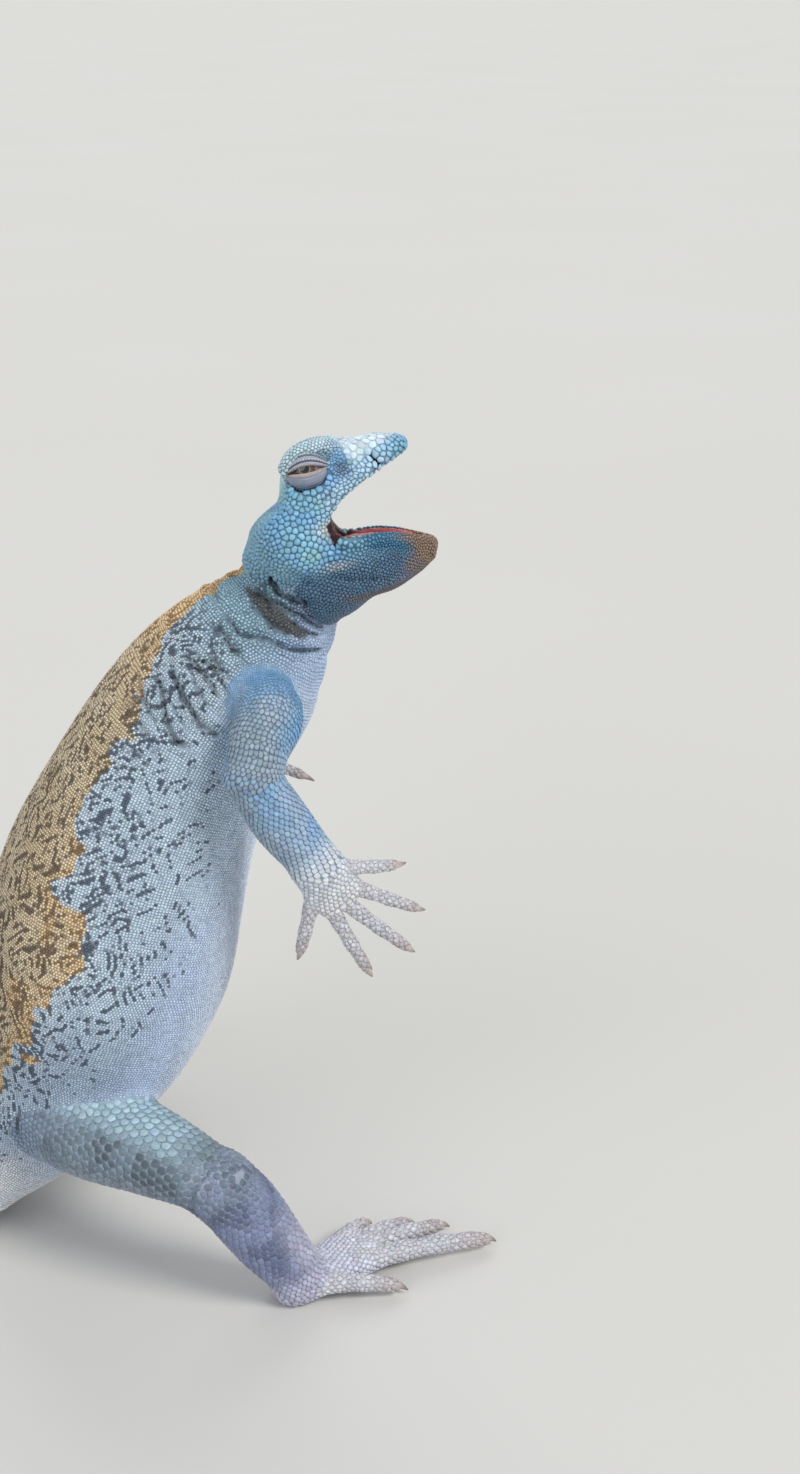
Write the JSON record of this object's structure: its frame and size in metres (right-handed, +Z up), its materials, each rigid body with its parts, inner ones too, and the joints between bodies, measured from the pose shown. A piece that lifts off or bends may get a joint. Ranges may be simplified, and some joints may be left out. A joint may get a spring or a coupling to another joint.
{
  "type": "uromastyx",
  "caption": "Life-size spiny-tailed lizard rearing on its hind feet, mouth open, one arm held forward, spiny tail lying behind it; a still display model.",
  "frame": {"origin": "on the ground, in the middle plane of the trunk, on the flat under the root of the tail", "axes": "+X the way the head faces, +Y to the animal's left, +Z up"},
  "size_m": [0.2413, 0.1135, 0.1639],
  "materials": {
    "head": "scaly, satin",
    "neck": "scaly, folded, satin",
    "body": "fine scales, satin; orange-tan back, pale blue-grey flanks with dark marks, pale belly",
    "tail": "whorls of hard spiny scales, satin",
    "limb": "overlapping scales, satin",
    "paw": "small pale scales, satin",
    "claw": "smooth horn",
    "tongue": "moist",
    "eye": "wet gloss"
  },
  "bodies": {
    "root": {"belly": "body", "chest": "body", "claw_finger_1_left": "claw", "claw_finger_1_right": "claw", "claw_finger_2_left": "claw", "claw_finger_2_right": "claw", "claw_finger_3_left": "claw", "claw_finger_3_right": "claw", "claw_finger_4_left": "claw", "claw_finger_4_right": "claw", "claw_finger_5_left": "claw", "claw_finger_5_right": "claw", "claw_toe_1_left": "claw", "claw_toe_1_right": "claw", "claw_toe_2_left": "claw", "claw_toe_2_right": "claw", "claw_toe_3_left": "claw", "claw_toe_3_right": "claw", "claw_toe_4_left": "claw", "claw_toe_4_right": "claw", "claw_toe_5_left": "claw", "claw_toe_5_right": "claw", "eye_left": "eye", "eye_right": "eye", "foot_left": "paw", "foot_right": "paw", "forearm_left": "limb", "forearm_right": "limb", "hand_left": "paw", "hand_right": "paw", "head": "head", "jaw": "head", "neck": "neck", "pelvis": "body", "shin_left": "limb", "shin_right": "limb", "tail_1": "tail", "tail_2": "tail", "tail_3": "tail", "tail_4": "tail", "thigh_left": "limb", "thigh_right": "limb", "tongue": "tongue", "upper_arm_left": "limb", "upper_arm_right": "limb"}
  },
  "joints": []
}
